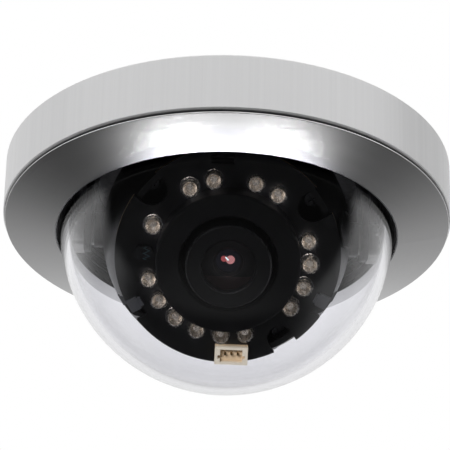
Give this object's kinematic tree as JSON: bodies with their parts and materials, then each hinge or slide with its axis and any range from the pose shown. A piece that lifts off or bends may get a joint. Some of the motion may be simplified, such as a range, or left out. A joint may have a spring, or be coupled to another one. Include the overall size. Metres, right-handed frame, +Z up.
{
  "type": "dome camera",
  "caption": "Ceiling dome security camera: round metal housing and trim ring, clear dome, and a pan and tilt eyeball with an infrared lamp ring and a manual zoom lens.",
  "frame": {"origin": "centre of the flat mounting face, where the housing meets the ceiling", "axes": "+Z up into the ceiling, the dome hangs towards -Z; at rest the camera looks towards -Y and down; +X is to the right for a viewer who faces the lens"},
  "size_m": [0.128, 0.128, 0.0662],
  "materials": {
    "housing_metal": "satin silver coat with a faint vertical grain",
    "trim_metal": "turned and brushed, satin",
    "clear_dome": "clear moulded polycarbonate",
    "black_rubber": "matt",
    "grey_plastic": "moulded, satin",
    "black_plastic": "moulded, satin",
    "green_board": "solder mask",
    "component_black": "moulded component bodies",
    "cream_plastic": "moulded nylon",
    "gold_pins": "plated pins",
    "screw_steel": "zinc plated",
    "black_screw": "black oxide",
    "zinc_steel": "zinc plated pressed steel",
    "black_board": "matt black solder mask",
    "sensor_dark": "dark epoxy with a sensing track",
    "shield_black": "matt moulded",
    "sensor_chip": "ceramic package under glass",
    "filter_glass": "tinted filter glass",
    "lens_black": "black anodised, satin",
    "lens_glass": "coated optical glass",
    "lamp_epoxy": "clear epoxy over a reflector cup"
  },
  "bodies": {
    "housing": {"base_housing": "housing_metal", "cable_grommet": "black_rubber", "pan_base": "grey_plastic", "pan_retainer": "black_plastic", "retainer_screws": "screw_steel", "bay_boards": "green_board", "bay_parts": "component_black", "power_socket": "cream_plastic", "bay_screws": "screw_steel", "inner_liner": "black_plastic", "lock_screw": "screw_steel"},
    "cover": {"trim_ring": "trim_metal", "housing_seal": "black_rubber", "cover_o_ring": "black_rubber", "dome_cover": "clear_dome", "dome_gasket": "black_rubber", "clamp_ring": "zinc_steel", "clamp_screws": "screw_steel"},
    "pan_carriage": {"pan_yoke": "zinc_steel", "pivot_blocks": "zinc_steel", "pivot_pins": "screw_steel", "friction_washers": "zinc_steel"},
    "camera_module": {"sensor_board": "green_board", "sensor_parts": "component_black", "lamp_socket": "cream_plastic", "lamp_socket_pins": "gold_pins", "holder_screws": "screw_steel", "shell_screws": "black_screw", "ball_shell": "black_plastic", "module_frame": "black_plastic", "lamp_board": "black_board", "board_clips": "grey_plastic", "light_sensor": "sensor_dark", "lamp_wire": "black_rubber", "light_shield": "shield_black", "lens_holder": "black_plastic", "image_sensor": "sensor_chip", "ir_cut_filter": "filter_glass", "lens_barrel": "lens_black", "lens_retainer": "lens_black", "front_lens": "lens_glass", "rear_lens": "lens_glass", "ir_lamp_01": "lamp_epoxy", "ir_lamp_02": "lamp_epoxy", "ir_lamp_03": "lamp_epoxy", "ir_lamp_04": "lamp_epoxy", "ir_lamp_05": "lamp_epoxy", "ir_lamp_06": "lamp_epoxy", "ir_lamp_07": "lamp_epoxy", "ir_lamp_08": "lamp_epoxy", "ir_lamp_09": "lamp_epoxy", "ir_lamp_10": "lamp_epoxy", "ir_lamp_11": "lamp_epoxy", "ir_lamp_12": "lamp_epoxy", "ir_lamp_13": "lamp_epoxy", "ir_lamp_14": "lamp_epoxy", "ir_lamp_15": "lamp_epoxy"},
    "zoom": {"zoom_ring": "lens_black", "zoom_lever": "screw_steel"},
    "focus": {"focus_ring": "lens_black"}
  },
  "joints": [
    {"name": "cover_lift_off", "type": "slide", "parent": "housing", "child": "cover", "axis": [0, 0, -1], "range_m": [0, 0.07]},
    {"name": "pan", "type": "hinge", "parent": "housing", "child": "pan_carriage", "pos_m": [0, 0, -0.00725], "axis": [0, 0, 1], "range_deg": [-170, 170]},
    {"name": "tilt", "type": "hinge", "parent": "pan_carriage", "child": "camera_module", "pos_m": [0, 0, -0.0205], "axis": [1, 0, 0], "range_deg": [-8, 43.5]},
    {"name": "focus_turn", "type": "hinge", "parent": "camera_module", "child": "focus", "pos_m": [0, 0, -0.0205], "axis": [0, -0.6896, -0.7242], "range_deg": [-60, 60]},
    {"name": "zoom_turn", "type": "hinge", "parent": "camera_module", "child": "zoom", "pos_m": [0, 0, -0.0205], "axis": [0, -0.6896, -0.7242], "range_deg": [-30, 30]}
  ]
}
